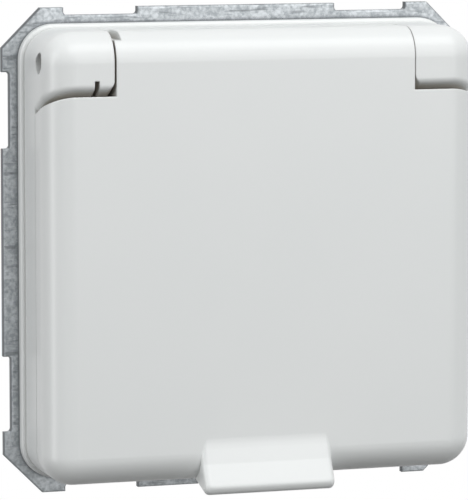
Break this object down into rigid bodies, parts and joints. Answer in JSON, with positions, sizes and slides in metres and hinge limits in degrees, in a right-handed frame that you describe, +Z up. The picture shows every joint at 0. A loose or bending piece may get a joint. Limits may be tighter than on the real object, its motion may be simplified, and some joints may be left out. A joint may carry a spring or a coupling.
{
  "type": "power socket",
  "caption": "Flush wall socket insert: a round earthed plug recess behind a square sprung hinged lid, on a notched square support frame with spreading claws.",
  "frame": {"origin": "centre of the support frame, on its back face, which lies on the wall", "axes": "+X to the right seen from the front, +Y into the wall, +Z up with the lid's hinge at the top"},
  "size_m": [0.071, 0.0488, 0.071],
  "materials": {
    "galvanised_sheet": "dull mottled zinc coat",
    "plated_steel": "bright zinc plate",
    "thermoset": "matt moulded",
    "contact_brass": "plain rolled",
    "cover_plastic": "semi-gloss moulded",
    "axle_steel": "drawn, oiled",
    "spring_steel": "drawn wire",
    "claw_steel": "zinc plate"
  },
  "bodies": {
    "base": {"support_frame": "galvanised_sheet", "frame_rivets": "plated_steel", "socket_body": "thermoset", "screw_bush": "contact_brass", "cover_screw": "plated_steel", "line_contact": "contact_brass", "neutral_contact": "contact_brass", "line_clamp": "plated_steel", "neutral_clamp": "plated_steel", "earth_clamp": "plated_steel", "terminal_screws": "plated_steel", "earth_bow": "contact_brass", "cover_base": "cover_plastic", "lid_spring": "spring_steel"},
    "hinged_lid": {"lid": "cover_plastic", "hinge_axle": "axle_steel"},
    "left_claw_screw": {"claw_screw_left": "plated_steel"},
    "left_claw": {"claw_left": "claw_steel"},
    "right_claw_screw": {"claw_screw_right": "plated_steel"},
    "right_claw": {"claw_right": "claw_steel"}
  },
  "joints": [
    {"name": "lid_hinge", "type": "hinge", "parent": "base", "child": "hinged_lid", "pos_m": [0, -0.0105, 0.0281], "axis": [-1, 0, 0], "range_deg": [0, 110], "stiffness_Nm_per_rad": 0.02, "springref_deg": -17.19, "deforming": ["lid_spring"]},
    {"name": "left_claw_swing", "type": "hinge", "parent": "base", "child": "left_claw_screw", "pos_m": [-0.025, -0.00353, 0], "axis": [0, 0, 1], "range_deg": [0, 8]},
    {"name": "left_claw_slide", "type": "slide", "parent": "left_claw_screw", "child": "left_claw", "axis": [0, -1, 0], "range_m": [0, 0.006]},
    {"name": "right_claw_swing", "type": "hinge", "parent": "base", "child": "right_claw_screw", "pos_m": [0.025, -0.00353, 0], "axis": [0, 0, -1], "range_deg": [0, 8]},
    {"name": "right_claw_slide", "type": "slide", "parent": "right_claw_screw", "child": "right_claw", "axis": [0, -1, 0], "range_m": [0, 0.006]}
  ]
}
